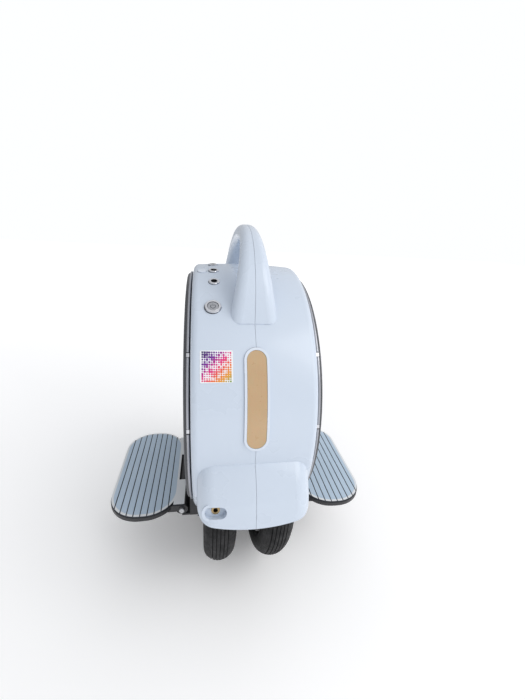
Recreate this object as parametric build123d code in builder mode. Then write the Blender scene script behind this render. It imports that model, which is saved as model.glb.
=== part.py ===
from build123d import *
import math
import os

# Twin-wheel self-balancing unicycle, in millimetres.
# X runs across the machine, -Y is the front, Z is up.
# The origin is on the floor, straight under the axle.

# ---------------------------------------------------------------- driving sizes
tyre_radius = 178.0          # 14 inch tyre
tyre_width = 41.0
tyre_track = 72.0            # from the middle of one tyre to the middle of the other
drum_radius = 176.0          # casing drum, at the seam
head_room = 91.0             # from the top of the tyres to the top of the drum
handle_rise = 52.0           # top of the handle above the drum
drum_crown = 3.0             # how much lower the drum is at its edges than at the seam
shell_half = 69.0            # half of the casing's width
edge_round = 8.0
wall = 3.5
seam_gap = 0.3               # between the casing halves

bumper_radius = 79.0
bumper_overhang = 29.0       # bumper front beyond the drum
bumper_half = 63.0
bumper_round = 20.0
bumper_edge_rise = 16.0      # lower edge of the bumper above the axle, at the seam

grip_width = 23.0
grip_depth = 20.0
leg_width = 58.0             # handle leg where it meets the drum
leg_depth = 30.0
arch_half = 107.0            # middle of a handle leg, from the axle plane
arch_power = 2.4             # a squarer arch than an ellipse

lens_length = 105.0
lens_width = 21.0
lens_elevation = 19.2        # middle of the lens above the drum's horizon, degrees
bezel_rim = 3.0

button_x = -45.0
button_elevation = 53.9
button_bore = 16.0
button_flange = 18.5
button_cap_d = 12.6
button_travel = 1.5

socket_x = -43.0
socket_elevations = (68.4, 78.5, 88.6)
socket_bore = 10.0
socket_flange = 13.0
plug_x = -57.0
plug_d = 10.0
plug_flange = 11.6

label_x = -42.0
label_elevation = 31.0
label_size = 34.0
label_thick = 0.3

insert_x = -43.0
insert_elevation = 16.0      # on the bumper, above its horizon
insert_bore = 5.0            # tapping bore of an M6 thread
insert_d = 9.0
insert_length = 7.0
recess_length = 23.0
recess_height = 13.0
recess_depth = 8.0

cover_inset = 15.0           # how much smaller than the drum each side piece is
ring_inset = 12.5
gasket_inset = 16.0
side_hole_inset = 19.0
plate_inset = 14.0
screw_inset = 38.0
cover_face = 76.8            # outer face of a side cover, from the seam
clip_elevations = (36.0, 7.0)
clip_width = 6.0
side_screw_d = 4.0
side_screw_head = 7.0
side_screw_angles = (8, 50, 90, 130, 172)   # about the drum's centre, from +Y upwards

plate_thick = 4.2
plate_gap = 0.1              # between a side plate and the casing's side wall

axle_d = 14.0
axle_half = 75.0
nut_size = 22.0
nut_thick = 7.0
washer_d = 30.0
washer_thick = 1.6
cap_d = 34.0

pin_x = 88.0                 # pedal hinge
pin_drop = 73.5              # hinge below the axle
pin_d = 8.0
pin_half = 86.0
knuckle_r = 8.5
knuckle_middle = 29.5        # half length of the hanger's knuckle
knuckle_outer = 82.0         # outer end of the pedal's knuckles
pedal_in = 94.0
pedal_out = 191.0
pedal_length = 198.0
pedal_corner = 45.0
pedal_rise = 9.7             # the surface that is stood on, above the hinge
mat_thick = 2.8
pedal_thick = 12.4
groove_count = 9
groove_pitch = 9.27
groove_width = 1.5
groove_depth = 0.9
hanger_rise = 30.5           # top of a hanger above the hinge
hanger_height = 42.0
hanger_gap = 2.0             # from a hanger up to the casing's flat end
hanger_half = 86.0

rotor_inset = 50.0           # motor can inside the tyre's radius
rotor_half = 47.0
rotor_wall = 5.0
magnet_thick = 3.0
magnet_count = 30
air_gap = 1.5
tooth_count = 18
stator_half = 15.0
motor_cover_thick = 3.0
bearing_outer = 32.0
bearing_width = 9.0

liner_clearance = 9.0
liner_thick = 2.0
tyre_clearance = 8.0
wheel_room_round = 18.0      # the wheel room narrows at its sides, as the tyres do

running = 0.05               # radial running fit
slip = 0.2                   # radial clearance of what only sits in a hole
rest_gap = 0.3               # between faces that meet when a part comes to rest

# ---------------------------------------------------------------- places
axle_z = tyre_radius
plate_out = shell_half - wall - plate_gap
plate_in = plate_out - plate_thick
drum_z = axle_z + tyre_radius + head_room - drum_radius
total_height = drum_z + drum_radius + handle_rise
bumper_reach = drum_radius + bumper_overhang
bumper_y = bumper_reach - bumper_radius
bumper_edge_z = axle_z + bumper_edge_rise
cover_radius = drum_radius - cover_inset
ring_radius = drum_radius - ring_inset
gasket_radius = drum_radius - gasket_inset
side_hole_radius = drum_radius - side_hole_inset
plate_radius = drum_radius - plate_inset
side_screw_radius = drum_radius - screw_inset
pin_z = axle_z - pin_drop
pedal_top = pin_z + pedal_rise
hanger_top = pin_z + hanger_rise
hanger_bottom = hanger_top - hanger_height
side_cut_z = hanger_top + hanger_gap
rotor_radius = tyre_radius - rotor_inset
gasket_out = shell_half + 1.4
ring_out = gasket_out + 3.0
handle_base_z = drum_z + drum_radius * 0.705
grip_z = total_height - grip_depth / 2
bezel_length = lens_length + 2 * bezel_rim
bezel_width = lens_width + 2 * bezel_rim
window_length = lens_length - 4
window_width = lens_width - 4
liner_radius = tyre_radius + liner_clearance
liner_half = plate_in - rest_gap

os.makedirs("parts", exist_ok=True)


def across(centre_z, centre_y=0.0):
    """Plane whose x runs across the machine and whose y is the radius above a centre."""
    return Plane(origin=(0, centre_y, centre_z), x_dir=(1, 0, 0), z_dir=(0, -1, 0))


def cross_axis(centre_z, centre_y=0.0):
    """Axis along X through a centre."""
    return Axis((0, centre_y, centre_z), (1, 0, 0))


def barrel(radius, crown, half, rounding, centre_z, centre_y=0.0, mode=Mode.ADD):
    """Crowned drum about X, with rounded edges."""
    with BuildSketch(across(centre_z, centre_y)) as outline:
        with BuildLine():
            Polyline((-half, radius - crown), (-half, 0), (half, 0), (half, radius - crown))
            ThreePointArc((-half, radius - crown), (0, radius), (half, radius - crown))
        make_face()
        fillet(outline.vertices().group_by(Axis.Y)[-1], rounding)
    revolve(outline.sketch, axis=cross_axis(centre_z, centre_y), mode=mode)


def ring(x_from, x_to, r_in, r_out, centre_z, mode=Mode.ADD):
    """Plain ring about X."""
    with BuildSketch(across(centre_z)) as section:
        with Locations(((x_from + x_to) / 2, (r_in + r_out) / 2)):
            Rectangle(x_to - x_from, r_out - r_in)
    revolve(section.sketch, axis=cross_axis(centre_z), mode=mode)


def on_drum(x, elevation, lift=0.0):
    """Plane on the drum's surface: x across, y up along the surface, normal outward."""
    radius = drum_radius - drum_crown * (x / shell_half) ** 2 + lift
    angle = math.radians(elevation)
    normal = (0, -math.cos(angle), math.sin(angle))
    return Plane(origin=(x, radius * normal[1], drum_z + radius * normal[2]), x_dir=(1, 0, 0), z_dir=normal)


def on_bumper(x, elevation, lift=0.0):
    """The same on the front bumper."""
    radius = bumper_radius - drum_crown * (x / bumper_half) ** 2 + lift
    angle = math.radians(elevation)
    normal = (0, -math.cos(angle), math.sin(angle))
    origin = (x, -bumper_y + radius * normal[1], bumper_edge_z + radius * normal[2])
    return Plane(origin=origin, x_dir=(1, 0, 0), z_dir=normal)


def disc(plane, diameter, depth, mode=Mode.ADD):
    """Round bar from a plane, downwards into the surface when depth is negative."""
    with BuildSketch(plane) as section:
        Circle(diameter / 2)
    extrude(section.sketch, amount=depth, mode=mode)


def tube(plane, outer, inner, depth):
    """Round tube from a plane."""
    with BuildSketch(plane) as section:
        Circle(outer / 2)
        Circle(inner / 2, mode=Mode.SUBTRACT)
    extrude(section.sketch, amount=depth)


def outer_edge(builder, plane):
    """The round edge that stands furthest out from a plane."""
    round_edges = builder.edges().filter_by(GeomType.CIRCLE)
    return round_edges.sort_by(Axis(plane.origin, plane.z_dir))[-1]


def drum_slab(length, width, r_in, r_out):
    """Stadium-shaped slab that follows the drum's curve, at the front lens."""
    ring(-width, width, r_in, r_out, drum_z)
    with BuildSketch(on_drum(0, lens_elevation, 20)) as outline:
        SlotOverall(length, width, rotation=90)
    extrude(outline.sketch, amount=-60, mode=Mode.INTERSECT)


def sector(centre_z, r_in, r_out, start, end, half, centre_x=0.0):
    """Arc-shaped block about X, from one angle to another above the rear horizon."""
    with BuildSketch(Plane.YZ.offset(centre_x - half)) as section:
        with BuildLine():
            outer = CenterArc((0, centre_z), r_out, start, end - start)
            inner = CenterArc((0, centre_z), r_in, start, end - start)
            Line(outer @ 0, inner @ 0)
            Line(outer @ 1, inner @ 1)
        make_face()
    extrude(section.sketch, amount=2 * half)


def save(builder, node):
    """Names a finished piece and writes it."""
    builder.part.label = node
    export_step(builder.part, f"parts/{node}.step")


def save_mirrored(builder, node_right, node_left):
    """Writes a piece of the right side and its mirror image on the left."""
    save(builder, node_right)
    with BuildPart() as other:
        mirror(builder.part, about=Plane.YZ)
    save(other, node_left)


# ---------------------------------------------------------------- casing
def arch_point(angle):
    """Middle of the handle at an angle from its front foot, on a squared-off ellipse."""
    power = 2 / arch_power
    y = -math.copysign(abs(math.cos(angle)) ** power, math.cos(angle)) * arch_half
    z = handle_base_z + (grip_z - handle_base_z) * math.sin(angle) ** power
    return Vector(0, y, z)


def arch_sections(inset):
    """Rounded sections along the handle, each made smaller by an inset on every side."""
    rise = grip_z - handle_base_z
    foot = 0.02
    sections = []
    stations = (foot, 0.32, 0.62, 0.95, math.pi / 2)
    for angle in stations + tuple(math.pi - a for a in reversed(stations[:-1])):
        middle = arch_point(angle)
        tangent = arch_point(angle + 0.01) - arch_point(angle - 0.01)
        height = (middle.Z - handle_base_z) / rise
        width = leg_width - (leg_width - grip_width) * height ** 0.85 - 2 * inset
        depth = leg_depth - (leg_depth - grip_depth) * height - 2 * inset
        corner = 0.44 * min(width, depth)
        with BuildSketch(Plane(origin=middle, x_dir=(1, 0, 0), z_dir=tangent)) as section:
            RectangleRounded(width, depth, corner)
        sections.append(section.sketch)
    return sections


with BuildPart() as handle_body:
    loft(arch_sections(0))

with BuildPart() as handle_hollow:
    loft(arch_sections(wall))

with BuildPart() as bumper_body:
    barrel(bumper_radius, drum_crown, bumper_half, bumper_round, bumper_edge_z, -bumper_y)
    side_rise = 9.5
    with BuildSketch(Plane.XZ) as front_outline:
        with BuildLine():
            lower_z = bumper_edge_z + side_rise
            upper_z = bumper_edge_z + 2 * bumper_radius
            half = bumper_half
            Polyline((-half, lower_z), (-half, upper_z), (half, upper_z), (half, lower_z))
            ThreePointArc((-half, lower_z), (0, bumper_edge_z), (half, lower_z))
        make_face()
        fillet(front_outline.vertices().group_by(Axis.Y)[0], 14)
    extrude(amount=2 * bumper_reach, both=True, mode=Mode.INTERSECT)

with BuildPart() as bumper_hollow:
    inner_radius = bumper_radius - wall
    barrel(inner_radius, drum_crown, bumper_half - wall, bumper_round - wall, bumper_edge_z, -bumper_y)

with BuildPart() as lens_pad:
    pad_width = bezel_width + 6
    drum_slab(bezel_length + 6, pad_width, drum_radius - 8, drum_radius - wall + 0.5)

with BuildPart() as lens_rebate:
    drum_slab(bezel_length + 2 * slip, bezel_width + 2 * slip, drum_radius - 4, drum_radius + 10)

with BuildPart() as lens_window:
    drum_slab(window_length, window_width, drum_radius - 12, drum_radius + 10)

with BuildPart() as casing:
    barrel(drum_radius, drum_crown, shell_half, edge_round, drum_z)
    add(bumper_body.part)
    mirror(bumper_body.part, about=Plane.XZ)
    add(handle_body.part)
    barrel(drum_radius - wall, drum_crown, shell_half - wall, edge_round - wall, drum_z, mode=Mode.SUBTRACT)
    add(bumper_hollow.part, mode=Mode.SUBTRACT)
    mirror(bumper_hollow.part, about=Plane.XZ, mode=Mode.SUBTRACT)
    add(handle_hollow.part, mode=Mode.SUBTRACT)
    # lamp seats, front and rear
    add(lens_pad.part)
    mirror(lens_pad.part, about=Plane.XZ)
    for tool in (lens_rebate.part, lens_window.part):
        add(tool, mode=Mode.SUBTRACT)
        mirror(tool, about=Plane.XZ, mode=Mode.SUBTRACT)
    # boss behind the oval recess of the bumper, then the recess and the insert's hole
    boss_margin = 3.0
    boss_depth = recess_depth + insert_length + rest_gap
    with BuildSketch(on_bumper(insert_x, insert_elevation, -wall / 2)):
        SlotOverall(recess_length + 2 * boss_margin, recess_height + 2 * boss_margin)
    extrude(amount=-(boss_depth - wall / 2))
    with BuildSketch(on_bumper(insert_x, insert_elevation, 10)):
        SlotOverall(recess_length, recess_height)
    extrude(amount=-(10 + recess_depth), mode=Mode.SUBTRACT)
    disc(on_bumper(insert_x, insert_elevation, 0), insert_d + 2 * running, -40, mode=Mode.SUBTRACT)
    # room for the wheels, which also opens the drum below the bumpers
    barrel(tyre_radius + tyre_clearance, 0.01, plate_in, wheel_room_round, axle_z, mode=Mode.SUBTRACT)
    with BuildSketch(Plane.XY.offset(bumper_edge_z)):
        Rectangle(2 * plate_in, 3 * drum_radius)
    extrude(amount=-bumper_edge_z, mode=Mode.SUBTRACT)
    # round side openings, and the flat end above the pedal hangers
    ring(-shell_half - 1, shell_half + 1, 0, side_hole_radius, drum_z, mode=Mode.SUBTRACT)
    with BuildSketch(Plane.XY.offset(side_cut_z)):
        Rectangle(3 * shell_half, 3 * drum_radius)
    extrude(amount=-side_cut_z, mode=Mode.SUBTRACT)
    # seats and holes of the button, the sockets and the plug
    seat = 0.4
    disc(on_drum(button_x, button_elevation, -seat), button_flange + 2 * slip, 10, mode=Mode.SUBTRACT)
    disc(on_drum(button_x, button_elevation, 10), button_bore + 2 * slip, -40, mode=Mode.SUBTRACT)
    for elevation in socket_elevations:
        disc(on_drum(socket_x, elevation, -seat), socket_flange + 2 * slip, 10, mode=Mode.SUBTRACT)
        disc(on_drum(socket_x, elevation, 10), socket_bore + 2 * slip, -40, mode=Mode.SUBTRACT)
    disc(on_drum(plug_x, socket_elevations[1], -seat), plug_flange + 2 * slip, 10, mode=Mode.SUBTRACT)
    disc(on_drum(plug_x, socket_elevations[1], 10), plug_d + 2 * slip, -40, mode=Mode.SUBTRACT)

half_gap = seam_gap / 2
with BuildPart() as shell_right:
    add(casing.part)
    split(bisect_by=Plane.YZ.offset(half_gap), keep=Keep.TOP)
save(shell_right, "shell_right")

with BuildPart() as shell_left:
    add(casing.part)
    split(bisect_by=Plane.YZ.offset(-half_gap), keep=Keep.BOTTOM)
save(shell_left, "shell_left")

# ---------------------------------------------------------------- lamps
with BuildPart() as front_lens_bezel:
    drum_slab(bezel_length, bezel_width, drum_radius - 4 + slip, drum_radius + 1.6)
    with BuildSketch(on_drum(0, lens_elevation, 20)):
        SlotOverall(lens_length + 2 * slip, lens_width + 2 * slip, rotation=90)
    extrude(amount=-60, mode=Mode.SUBTRACT)
save(front_lens_bezel, "front_lens_bezel")

with BuildPart() as front_lens:
    drum_slab(lens_length, lens_width, drum_radius - 4 + slip, drum_radius + 1.2)
save(front_lens, "front_lens")

with BuildPart() as front_led_board:
    drum_slab(window_length - 2 * slip, window_width - 2 * slip, drum_radius - 9, drum_radius - 7.4)
    for step in range(-4, 5):
        led_plane = on_drum(0, lens_elevation + 3.2 * step, -7.5)
        with BuildSketch(led_plane) as led:
            Rectangle(5, 5)
        extrude(led.sketch, amount=1.6)
with BuildPart() as led_boards:
    add(front_led_board.part)
    mirror(front_led_board.part, about=Plane.XZ)
save(led_boards, "led_boards")

for front, node in ((front_lens_bezel, "rear_lens_bezel"), (front_lens, "rear_lens")):
    with BuildPart() as rear:
        mirror(front.part, about=Plane.XZ)
    save(rear, node)

# ---------------------------------------------------------------- power button
button_seat = on_drum(button_x, button_elevation, -seat)
with BuildPart() as button_bezel:
    disc(button_seat, button_flange, 2.4)
    chamfer(outer_edge(button_bezel, button_seat), 0.7)
    disc(button_seat, button_bore, -14)
    disc(button_seat.offset(10), button_cap_d + 2 * slip, -40, mode=Mode.SUBTRACT)
save(button_bezel, "button_bezel")

with BuildPart() as button_cap:
    disc(button_seat.offset(1.9), button_cap_d, -9)
    fillet(outer_edge(button_cap, button_seat), 0.6)
save(button_cap, "button_cap")

with BuildPart() as button_switch:
    switch_plane = button_seat.offset(-14)
    disc(switch_plane, button_bore - 1, -8)
    disc(switch_plane, button_cap_d - 4, 14 + 1.9 - 9 - button_travel - rest_gap)
save(button_switch, "button_switch")

# ---------------------------------------------------------------- sockets and plug
nut_gap = 0.7                # room for the nuts' corners under the curved wall
with BuildPart() as panel_nuts:
    nut_places = [(button_seat, 12.5, button_bore)]
    for elevation in socket_elevations:
        nut_places.append((on_drum(socket_x, elevation, -seat), 8.2, socket_bore))
    for mouth, corner_radius, bore in nut_places:
        with BuildSketch(mouth.offset(-(wall + nut_gap))) as nut_outline:
            RegularPolygon(corner_radius, 6)
            Circle(bore / 2 + running, mode=Mode.SUBTRACT)
        extrude(nut_outline.sketch, amount=-2.6)
save(panel_nuts, "panel_nuts")

socket_depth = 12.0
socket_hollow = 7.6
with BuildPart() as socket_inserts:
    for elevation in socket_elevations:
        mouth = on_drum(socket_x, elevation, -seat)
        disc(mouth.offset(-3), socket_hollow, -(socket_depth - 1.5))
        for angle in (90, 210, 330):
            offset_x = 2.1 * math.cos(math.radians(angle))
            offset_y = 2.1 * math.sin(math.radians(angle))
            with BuildSketch(mouth.offset(-3)) as contact:
                with Locations((offset_x, offset_y)):
                    Circle(0.55)
            extrude(contact.sketch, amount=3)
save(socket_inserts, "socket_inserts")

for elevation, node in zip(socket_elevations, ("charge_socket", "lamp_socket", "data_socket")):
    mouth = on_drum(socket_x, elevation, -seat)
    with BuildPart() as socket:
        disc(mouth, socket_flange, 1.8)
        chamfer(outer_edge(socket, mouth), 0.5)
        disc(mouth, socket_bore, -socket_depth)
        disc(mouth.offset(10), socket_hollow + 2 * running, -40, mode=Mode.SUBTRACT)
    save(socket, node)

with BuildPart() as screw_plug:
    plug_plane = on_drum(plug_x, socket_elevations[1], -seat)
    disc(plug_plane.offset(-5), plug_d, 5)
    disc(plug_plane, plug_flange, 1.5)
    fillet(outer_edge(screw_plug, plug_plane), 0.7)
save(screw_plug, "screw_plug")

# ---------------------------------------------------------------- label and brass insert
with BuildPart() as label_plate:
    barrel(drum_radius + label_thick, drum_crown, shell_half, edge_round, drum_z)
    barrel(drum_radius, drum_crown, shell_half, edge_round, drum_z, mode=Mode.SUBTRACT)
    with BuildSketch(on_drum(label_x, label_elevation, 10)) as label_outline:
        RectangleRounded(label_size, label_size, 1.5)
    extrude(label_outline.sketch, amount=-20, mode=Mode.INTERSECT)
save(label_plate, "label_plate")

with BuildPart() as brass_insert:
    insert_top = on_bumper(insert_x, insert_elevation, -recess_depth + 1.0)
    tube(insert_top, insert_d, insert_bore, -(insert_length + 1.0))
save(brass_insert, "brass_insert")

# ---------------------------------------------------------------- side covers
def rim_places(radius, angles):
    """Places on a circle about the drum's centre, on a side plane."""
    return [
        (radius * math.cos(math.radians(a)), drum_z + radius * math.sin(math.radians(a)))
        for a in angles
    ]


def cut_above_hanger():
    """Ends a round side piece above the pedal hanger."""
    with BuildSketch(Plane.XY.offset(side_cut_z)) as below:
        Rectangle(4 * shell_half, 3 * drum_radius)
    extrude(below.sketch, amount=-side_cut_z, mode=Mode.SUBTRACT)


def clip_blocks(r_in, r_out, x_from, x_to, width, mode):
    """Short radial blocks at the clip places, front and rear."""
    for elevation in clip_elevations + tuple(180 - e for e in clip_elevations):
        angle = math.radians(elevation)
        out = (0, -math.cos(angle), math.sin(angle))
        middle = (r_in + r_out) / 2
        origin = (x_from, middle * out[1], drum_z + middle * out[2])
        with BuildSketch(Plane(origin=origin, x_dir=out, z_dir=(1, 0, 0))) as block:
            Rectangle(r_out - r_in, width)
        extrude(block.sketch, amount=x_to - x_from, mode=mode)


with BuildPart() as cover_gasket_right:
    ring(shell_half, gasket_out, side_hole_radius - 6, gasket_radius, drum_z)
    cut_above_hanger()
save_mirrored(cover_gasket_right, "cover_gasket_right", "cover_gasket_left")

with BuildPart() as trim_ring_right:
    ring(gasket_out, ring_out, side_hole_radius - 8, ring_radius, drum_z)
    outer_edges = trim_ring_right.edges().filter_by(GeomType.CIRCLE).group_by(SortBy.RADIUS)[-1]
    fillet(outer_edges, 1.2)
    clip_blocks(side_hole_radius - 12, ring_radius + 4, gasket_out, ring_out, clip_width, Mode.SUBTRACT)
    cut_above_hanger()
save_mirrored(trim_ring_right, "trim_ring_right", "trim_ring_left")

with BuildPart() as clips_right:
    clip_blocks(side_hole_radius - 7, ring_radius - 1.0, gasket_out, ring_out, clip_width - 1.6, Mode.ADD)
with BuildPart() as ring_clips:
    add(clips_right.part)
    mirror(clips_right.part, about=Plane.YZ)
save(ring_clips, "ring_clips")

cover_thick = cover_face - ring_out
vent_width = 3.6
with BuildPart() as vent_cuts:
    for vent_radius in (94, 102, 110):
        sector(drum_z, vent_radius, vent_radius + vent_width, 62, 118, 0.9, cover_face)

with BuildPart() as side_cover_right:
    ring(ring_out, cover_face, 0, cover_radius, drum_z)
    cover_edge = side_cover_right.edges().filter_by(GeomType.CIRCLE).sort_by(Axis.X)[-1]
    fillet(cover_edge, 2.4)
    # shallow round groove as a styling line
    groove_radius = side_screw_radius - 13
    ring(cover_face - 0.8, cover_face + 1, groove_radius - 1, groove_radius + 1, drum_z, mode=Mode.SUBTRACT)
    add(vent_cuts.part, mode=Mode.SUBTRACT)
    cut_above_hanger()
    with BuildSketch(Plane.YZ.offset(ring_out)) as cap_hole:
        with Locations((0, axle_z)):
            Circle(cap_d / 2 + slip)
    extrude(cap_hole.sketch, amount=cover_thick + 1, mode=Mode.SUBTRACT)
    # hollow behind the face
    ring(ring_out - 1, cover_face - 2.2, 40, side_hole_radius - 12, drum_z, mode=Mode.SUBTRACT)
    for hole_x, hole_d in ((ring_out - 1, side_screw_d), (cover_face - 1.5, side_screw_head)):
        with BuildSketch(Plane.YZ.offset(hole_x)) as screw_holes:
            with Locations(*rim_places(side_screw_radius, side_screw_angles)):
                Circle(hole_d / 2 + running)
        extrude(screw_holes.sketch, amount=10, mode=Mode.SUBTRACT)
save_mirrored(side_cover_right, "side_cover_right", "side_cover_left")


# ---------------------------------------------------------------- side plates and axle
hanger_bolt_d = 6.0
hanger_bolt_y = 62.0
hanger_bolt_rows = (hanger_bottom + 11, hanger_top - 9)
cable_d = 6.0
cable_rise = 27.6            # hole for the motor cable above the top of the wheel liner
cable_hole = (-41.3, axle_z + liner_radius + liner_thick + cable_rise)


def bolt_places():
    """Places of the hanger bolts on a side plane."""
    return [(y, z) for y in (-hanger_bolt_y, hanger_bolt_y) for z in hanger_bolt_rows]


with BuildPart() as side_plate_right:
    with BuildSketch(Plane.YZ.offset(plate_in)) as plate_outline:
        with Locations((0, drum_z)):
            Circle(plate_radius)
        with Locations((0, (drum_z + hanger_bottom) / 2)):
            Rectangle(2 * hanger_half, drum_z - hanger_bottom)
        with Locations((0, axle_z)):
            Circle(axle_d / 2 + running, mode=Mode.SUBTRACT)
        with Locations(*bolt_places()):
            Circle(hanger_bolt_d / 2 + running, mode=Mode.SUBTRACT)
        with Locations(*rim_places(side_screw_radius, side_screw_angles)):
            Circle(side_screw_d / 2 + running, mode=Mode.SUBTRACT)
        with Locations(cable_hole):
            Circle(cable_d + 1, mode=Mode.SUBTRACT)
        # two lightening holes, one each side of the axle
        for side in (-1, 1):
            with Locations((side * 92, axle_z + 45)):
                Circle(26, mode=Mode.SUBTRACT)
    extrude(plate_outline.sketch, amount=plate_thick)
save_mirrored(side_plate_right, "side_plate_right", "side_plate_left")

with BuildPart() as axle:
    with BuildSketch(Plane.YZ.offset(-axle_half)) as axle_section:
        with Locations((0, axle_z)):
            Circle(axle_d / 2)
    extrude(axle_section.sketch, amount=2 * axle_half)
    chamfer(axle.edges().filter_by(GeomType.CIRCLE), 1.0)
save(axle, "axle")

with BuildPart() as nut_right:
    ring(plate_out, plate_out + washer_thick, axle_d / 2 + running, washer_d / 2, axle_z)
with BuildPart() as nut_hex:
    with BuildSketch(Plane.YZ.offset(plate_out + washer_thick)) as nut_outline:
        with Locations((0, axle_z)):
            RegularPolygon(nut_size / 2, 6, major_radius=False)
            Circle(axle_d / 2 + running, mode=Mode.SUBTRACT)
    extrude(nut_outline.sketch, amount=nut_thick)
with BuildPart() as axle_nuts:
    for piece in (nut_right.part, nut_hex.part):
        add(piece)
        mirror(piece, about=Plane.YZ)
save(axle_nuts, "axle_nuts")

# cup over each nut: its skirt stands on the side plate's washer line, its face is flush with the cover
cup_face = cover_face + 0.4
cup_skirt = 2.0
with BuildPart() as cup_right:
    ring(plate_out + rest_gap, cup_face, 0, cap_d / 2, axle_z)
    fillet(cup_right.edges().filter_by(GeomType.CIRCLE).sort_by(Axis.X)[-1], 0.8)
    ring(plate_out, axle_half + rest_gap, 0, cap_d / 2 - cup_skirt + 0.2, axle_z, mode=Mode.SUBTRACT)
with BuildPart() as axle_caps:
    add(cup_right.part)
    mirror(cup_right.part, about=Plane.YZ)
save(axle_caps, "axle_caps")

with BuildPart() as screws_right:
    for start_x, end_x, width in (
        (plate_in, cover_face - 1.5, side_screw_d),
        (cover_face - 1.5, cover_face - 0.1, side_screw_head),
    ):
        with BuildSketch(Plane.YZ.offset(start_x)) as screw_section:
            with Locations(*rim_places(side_screw_radius, side_screw_angles)):
                Circle(width / 2)
        extrude(screw_section.sketch, amount=end_x - start_x)
with BuildPart() as side_screws:
    add(screws_right.part)
    mirror(screws_right.part, about=Plane.YZ)
save(side_screws, "side_screws")

# motor cable: out of the axle, up outside the right plate, in through the plate's hole
cable_x = plate_out + cable_d / 2 + 1.2
with BuildPart() as motor_cable:
    with BuildLine() as cable_route:
        FilletPolyline(
            (cable_x, 0, axle_z + cap_d / 2 + 0.5),
            (cable_x, -14, axle_z + 122),
            (cable_x, cable_hole[0] + 1.3, cable_hole[1] - 2.6),
            (cable_x - 19, cable_hole[0] - 2.7, cable_hole[1] + 5.4),
            radius=9,
        )
    start = cable_route.line @ 0
    with BuildSketch(Plane(origin=start, z_dir=cable_route.line % 0)) as cable_section:
        Circle(cable_d / 2)
    sweep(cable_section.sketch, path=cable_route.line)
save(motor_cable, "motor_cable")

# ---------------------------------------------------------------- pedal hangers
hanger_face = cover_face - 0.8
with BuildPart() as hanger_right:
    with BuildSketch(Plane.YZ.offset(plate_out)) as back_outline:
        with Locations((0, (hanger_top + hanger_bottom) / 2)):
            RectangleRounded(2 * hanger_half, hanger_top - hanger_bottom, 6)
    extrude(back_outline.sketch, amount=hanger_face - plate_out)
    # knuckle in the middle, on a web that stays under the folded pedal's inner edge
    web_top = pin_z + pedal_in - pin_x - 2
    web_bottom = pin_z - knuckle_r
    with BuildSketch(Plane.XZ.offset(-knuckle_middle)) as knuckle_outline:
        with Locations((pin_x, pin_z)):
            Circle(knuckle_r)
        with Locations(((hanger_face + pin_x) / 2 - 1, (web_top + web_bottom) / 2)):
            Rectangle(pin_x - hanger_face + 2, web_top - web_bottom)
    extrude(knuckle_outline.sketch, amount=2 * knuckle_middle)
    # shelf that the pedal's knuckles rest on when the pedal is down
    shelf_top = pin_z - knuckle_r - rest_gap
    with BuildSketch(Plane.XZ.offset(-knuckle_outer)) as shelf_outline:
        with Locations((hanger_face + 5.5, (shelf_top + hanger_bottom) / 2)):
            Rectangle(13, shelf_top - hanger_bottom)
    extrude(shelf_outline.sketch, amount=2 * knuckle_outer)
    with BuildSketch(Plane.XZ.offset(-hanger_half - 1)) as pin_hole:
        with Locations((pin_x, pin_z)):
            Circle(pin_d / 2 + running)
    extrude(pin_hole.sketch, amount=2 * hanger_half + 2, mode=Mode.SUBTRACT)
    with BuildSketch(Plane.YZ.offset(plate_in)) as bolt_holes:
        with Locations(*bolt_places()):
            Circle(hanger_bolt_d / 2 + running)
    extrude(bolt_holes.sketch, amount=40, mode=Mode.SUBTRACT)
    with BuildSketch(Plane.YZ.offset(hanger_face - 4)) as head_holes:
        with Locations(*bolt_places()):
            Circle(hanger_bolt_d + slip)
    extrude(head_holes.sketch, amount=40, mode=Mode.SUBTRACT)
save_mirrored(hanger_right, "pedal_hanger_right", "pedal_hanger_left")

with BuildPart() as bolts_right:
    with BuildSketch(Plane.YZ.offset(plate_in)) as shanks:
        with Locations(*bolt_places()):
            Circle(hanger_bolt_d / 2)
    extrude(shanks.sketch, amount=hanger_face - 4 - plate_in)
    with BuildSketch(Plane.YZ.offset(hanger_face - 4)) as heads:
        with Locations(*bolt_places()):
            Circle(hanger_bolt_d - running)
            RegularPolygon(2.5, 6, mode=Mode.SUBTRACT)
    extrude(heads.sketch, amount=3.6)
with BuildPart() as hanger_bolts:
    add(bolts_right.part)
    mirror(bolts_right.part, about=Plane.YZ)
save(hanger_bolts, "hanger_bolts")

with BuildPart() as pin_right:
    with BuildSketch(Plane.XZ.offset(-pin_half)) as pin_section:
        with Locations((pin_x, pin_z)):
            Circle(pin_d / 2)
    extrude(pin_section.sketch, amount=2 * pin_half)
    chamfer(pin_right.edges().filter_by(GeomType.CIRCLE), 0.8)
save_mirrored(pin_right, "hinge_pin_right", "hinge_pin_left")

# ---------------------------------------------------------------- pedals
pedal_width = pedal_out - pedal_in
pedal_mid_x = (pedal_in + pedal_out) / 2
plate_top = pedal_top - mat_thick
knuckle_inner = knuckle_middle + 0.7
knuckle_length = knuckle_outer - knuckle_inner
knuckle_mid = (knuckle_outer + knuckle_inner) / 2
tongue_end = pin_x - 3.5
under_chamfer = 6.5
mat_rim = 1.8

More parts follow.
